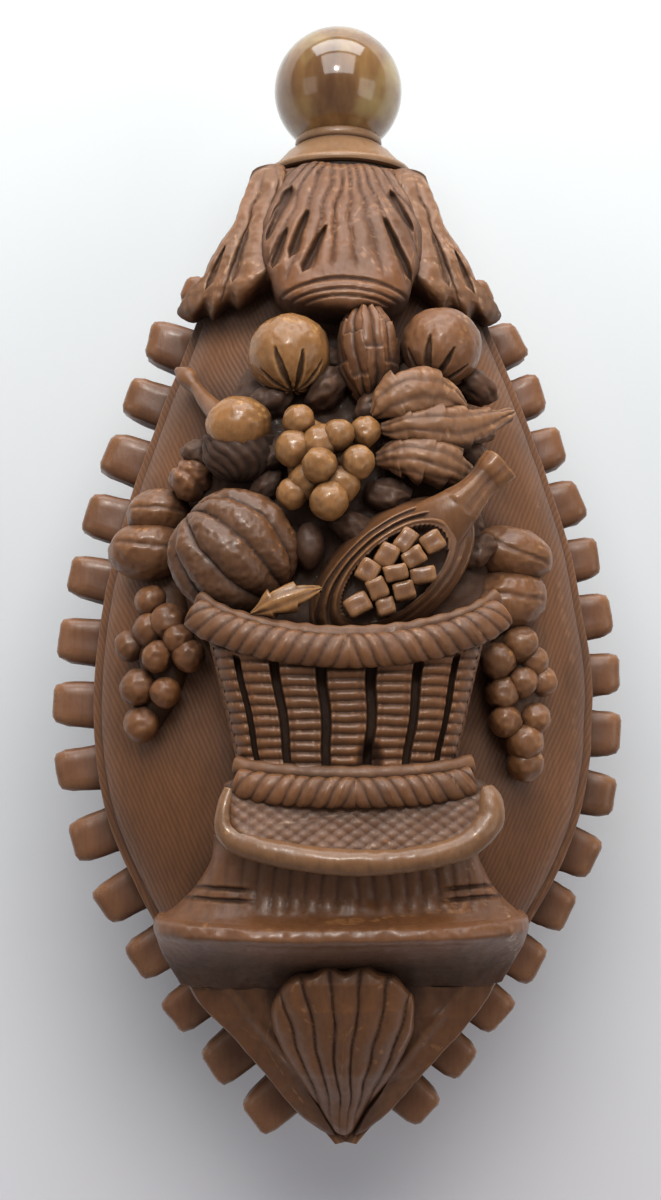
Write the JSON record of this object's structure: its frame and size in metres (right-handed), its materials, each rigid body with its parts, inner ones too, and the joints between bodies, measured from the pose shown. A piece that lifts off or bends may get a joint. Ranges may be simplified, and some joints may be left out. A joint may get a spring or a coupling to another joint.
{
  "type": "carved nut flask",
  "caption": "Almond-shaped carved nut flask with a toothed rim, a fruit basket in high relief, and a screw stopper topped by a polished ball.",
  "frame": {"origin": "middle of the flat oval resting face on the back", "axes": "+X across the flask, +Y along it toward the stopper, +Z out of the carved front"},
  "size_m": [0.046, 0.0913, 0.0371],
  "materials": {
    "nut_ground": "oiled nut shell with fine tool marks",
    "carved_nut": "carved nut, dark in the cuts and rubbed on the high spots",
    "worn_nut": "carved nut rubbed to a light glossy patina",
    "dark_nut": "undercut nut with old dirt",
    "nut_teeth": "sawn nut teeth with worn corners",
    "turned_nut": "turned and polished nut",
    "washer": "old compressed leather",
    "ball_stone": "polished banded amber-brown stone"
  },
  "bodies": {
    "flask": {"front_shell": "nut_ground", "back_shell": "nut_ground", "toothed_band": "nut_teeth", "neck_bush": "turned_nut", "front_palmette": "carved_nut", "back_palmette": "carved_nut", "left_collar_leaf": "carved_nut", "right_collar_leaf": "carved_nut", "fruit_bed": "dark_nut", "left_apple": "worn_nut", "right_apple": "carved_nut", "artichoke": "carved_nut", "upper_leaf": "carved_nut", "middle_leaf": "carved_nut", "lower_leaf": "carved_nut", "acorn_nut": "worn_nut", "acorn_cup": "dark_nut", "acorn_stem": "carved_nut", "centre_grapes": "worn_nut", "melon": "carved_nut", "small_nut": "dark_nut", "pod_husk": "carved_nut", "pod_neck": "carved_nut", "pod_seeds": "worn_nut", "rim_petal": "worn_nut", "left_bud": "carved_nut", "left_peach": "carved_nut", "right_peach": "carved_nut", "left_grapes": "carved_nut", "right_grapes": "carved_nut", "basket": "carved_nut", "basket_rim_rope": "worn_nut", "basket_foot_rope": "worn_nut", "tray": "carved_nut", "tray_lip": "worn_nut", "plinth": "carved_nut", "base_slab": "carved_nut", "front_scallop": "carved_nut", "back_scallop": "carved_nut", "left_frame_strip": "carved_nut", "right_frame_strip": "carved_nut", "back_cartouche": "nut_ground", "cartouche_rope": "carved_nut"},
    "washer": {"seal_washer": "washer"},
    "stopper": {"stopper": "turned_nut", "ball_peg": "turned_nut", "ball_finial": "ball_stone"}
  },
  "joints": [
    {"name": "stopper_rise", "type": "slide", "parent": "flask", "child": "washer", "axis": [0, 1, 0], "range_m": [0, 0.0108]},
    {"name": "stopper_turn", "type": "hinge", "parent": "washer", "child": "stopper", "pos_m": [0, 0.0318, 0.015], "axis": [0, 1, 0], "range_deg": [0, 2160]}
  ],
  "couplings": [
    {"joint": "stopper_turn", "follows": "stopper_rise", "rad_per_m": 3490.7}
  ]
}
